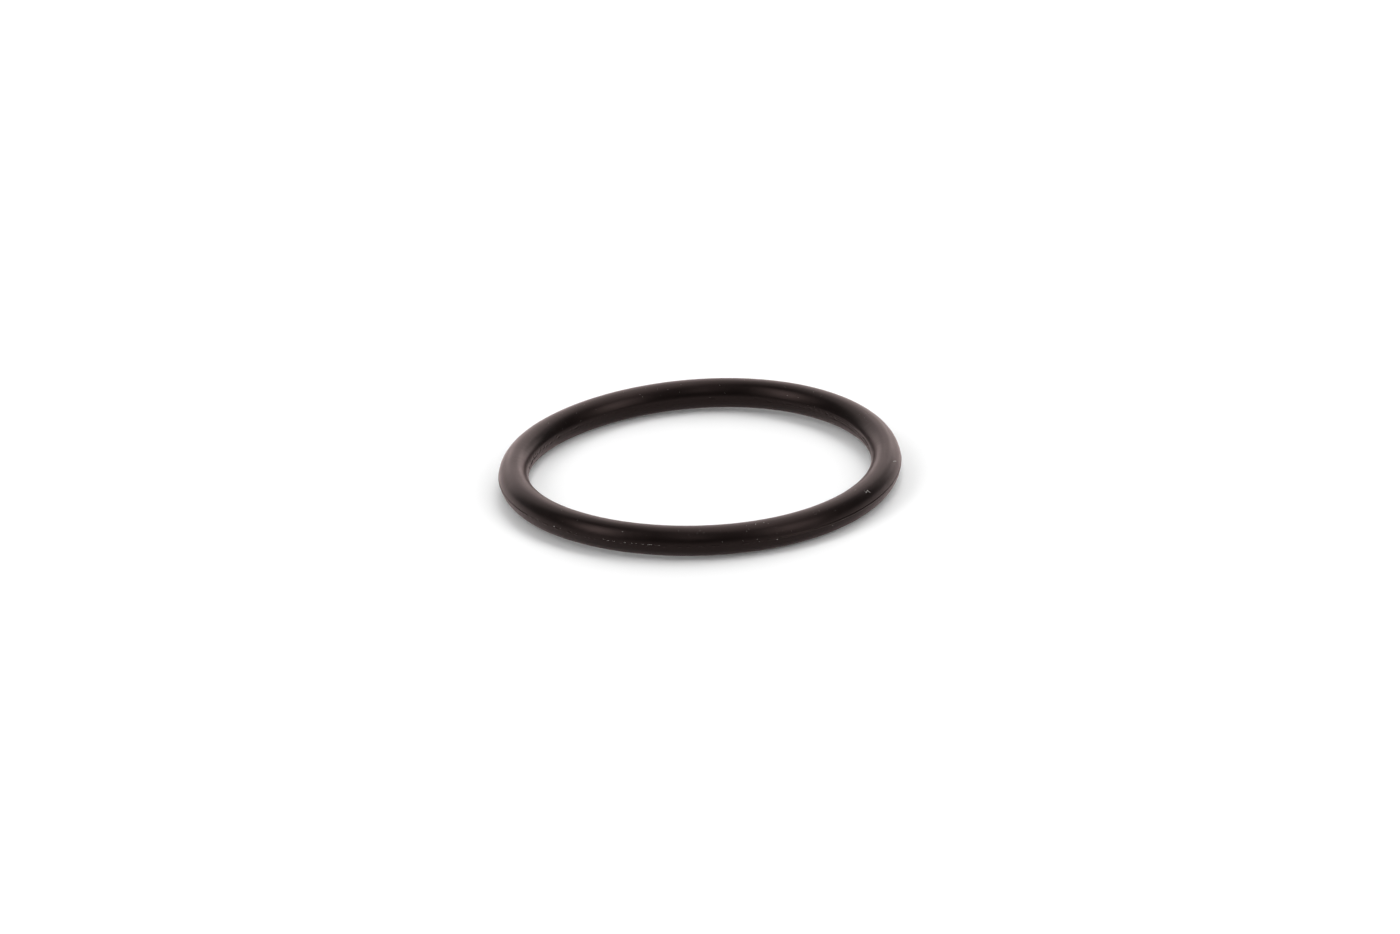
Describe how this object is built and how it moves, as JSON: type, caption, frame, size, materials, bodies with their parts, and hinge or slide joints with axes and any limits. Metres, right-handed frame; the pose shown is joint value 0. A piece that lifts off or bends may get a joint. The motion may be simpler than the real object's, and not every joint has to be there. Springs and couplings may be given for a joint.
{
  "type": "rubber o-ring",
  "caption": "Round-section rubber sealing ring with a trimmed inner land and a fine moulding flash on its outside, lying flat.",
  "frame": {"origin": "centre of the ring, on the mould's parting plane", "axes": "+Z along the ring's axis; the ring lies flat, and X and Y are equal because it is round"},
  "size_m": [0.047, 0.047, 0.0034],
  "materials": {
    "rubber": "satin black moulded rubber with a faint warm cast"
  },
  "bodies": {
    "root": {"o_ring": "rubber"}
  },
  "joints": []
}
